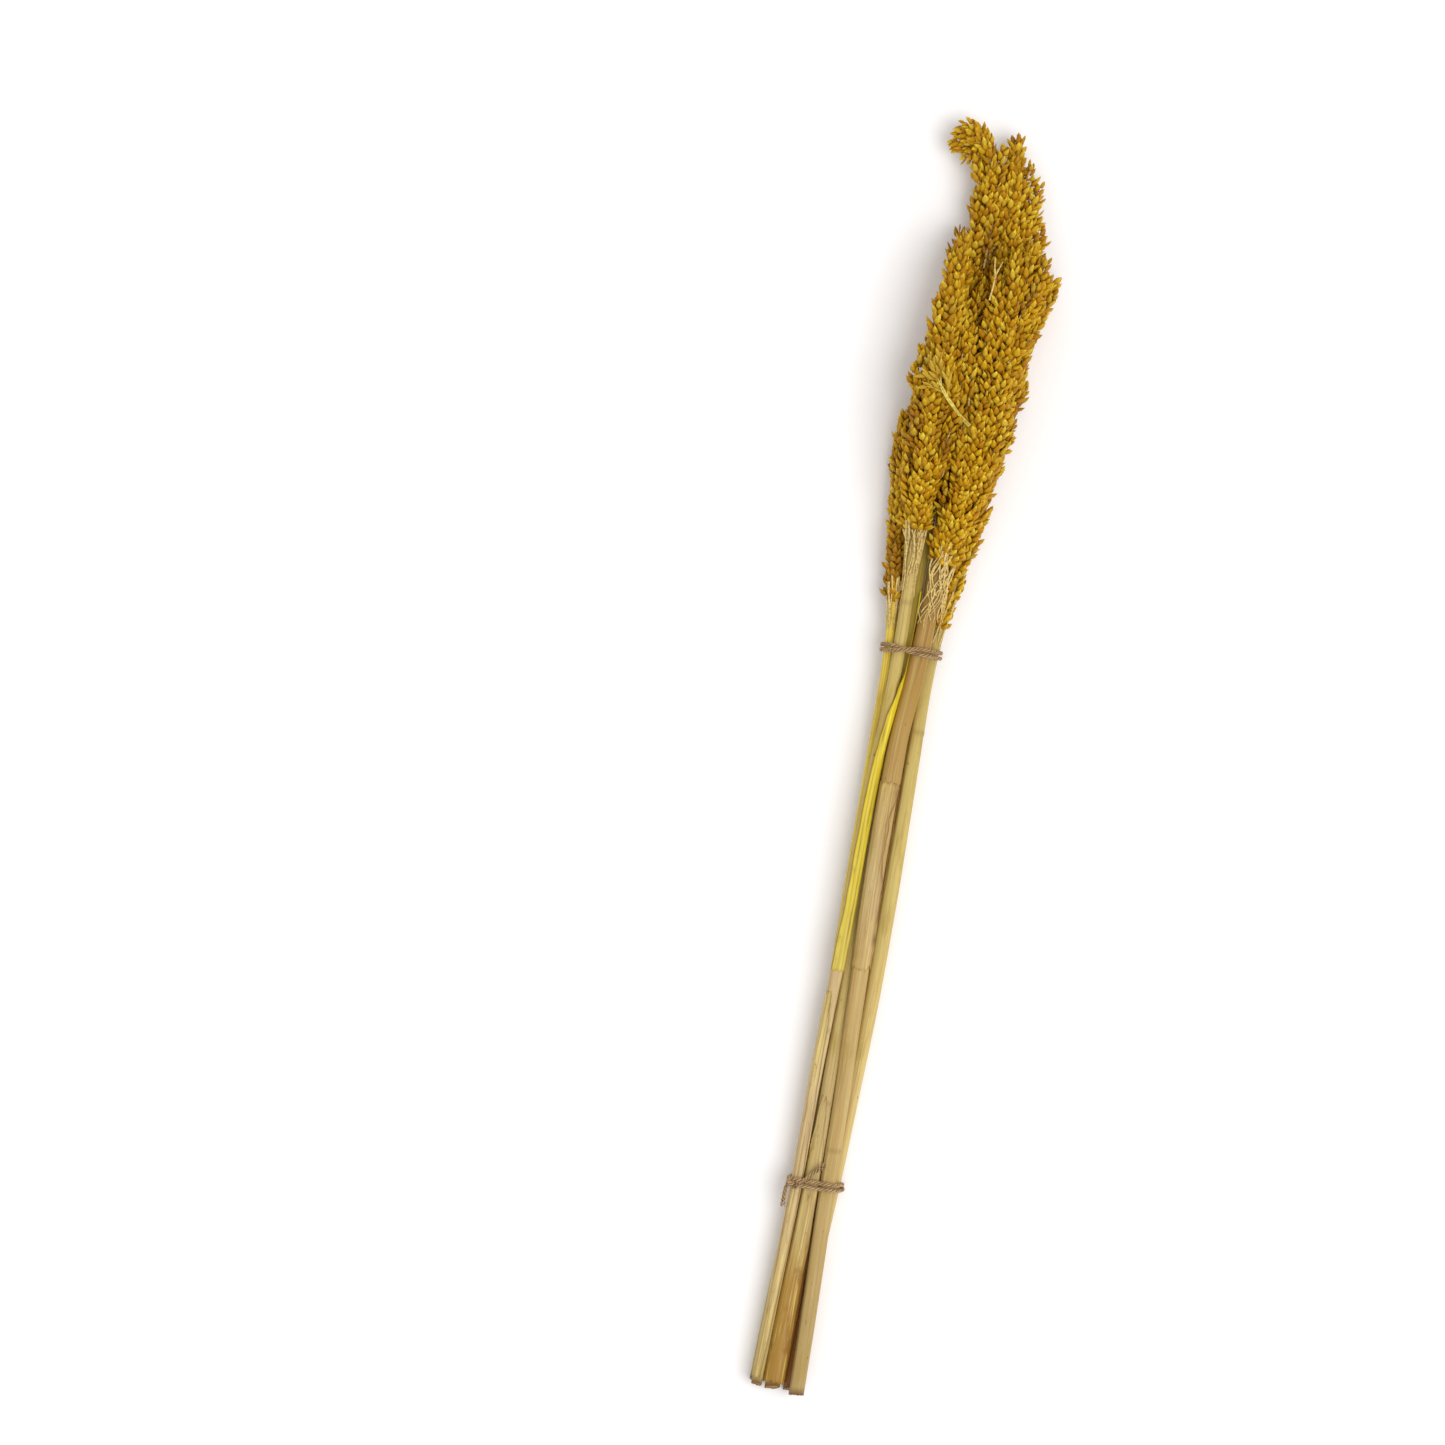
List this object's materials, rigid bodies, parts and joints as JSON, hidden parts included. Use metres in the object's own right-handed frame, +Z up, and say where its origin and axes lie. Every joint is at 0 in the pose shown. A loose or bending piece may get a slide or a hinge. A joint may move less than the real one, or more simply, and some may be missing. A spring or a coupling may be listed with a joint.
{
  "type": "bundle of dried sorghum",
  "caption": "Tied bundle of cut and dried sorghum stalks with dense yellow seed heads, lying down, its dry leaf sheaths still on the stems and held by jute twine.",
  "frame": {"origin": "middle of the underside of the lying bundle's box, on the surface that it rests on", "axes": "+Y along the stems, from the cut ends to the seed heads; +Z up, away from the surface; +X to the right, seen from above with the heads at the top"},
  "size_m": [0.075, 0.707, 0.0464],
  "materials": {
    "straw": "dry satin stalk, finely ribbed",
    "dyed_sheath": "dry satin leaf, dyed yellow",
    "dry_sheath": "dry satin leaf",
    "stained_sheath": "dry satin leaf, stained brown",
    "seed": "dyed seed husks with a soft sheen",
    "brown_seed": "dyed seed husks, browner, with a soft sheen",
    "twig": "matt dry branchlet",
    "jute": "matt twisted fibre"
  },
  "bodies": {
    "root": {"stem_front_left": "straw", "stem_front_right": "straw", "stem_left": "straw", "stem_right": "straw", "stem_middle": "straw", "stem_back": "straw", "sheath_front_left_upper": "dyed_sheath", "sheath_front_left_lower": "dry_sheath", "sheath_front_right": "dry_sheath", "sheath_middle": "stained_sheath", "head_front_left": "seed", "head_front_right": "seed", "head_left": "brown_seed", "head_right": "seed", "head_middle": "seed", "head_back": "seed", "loose_twig": "twig", "tie_lower": "jute", "tie_upper": "jute"}
  },
  "joints": []
}
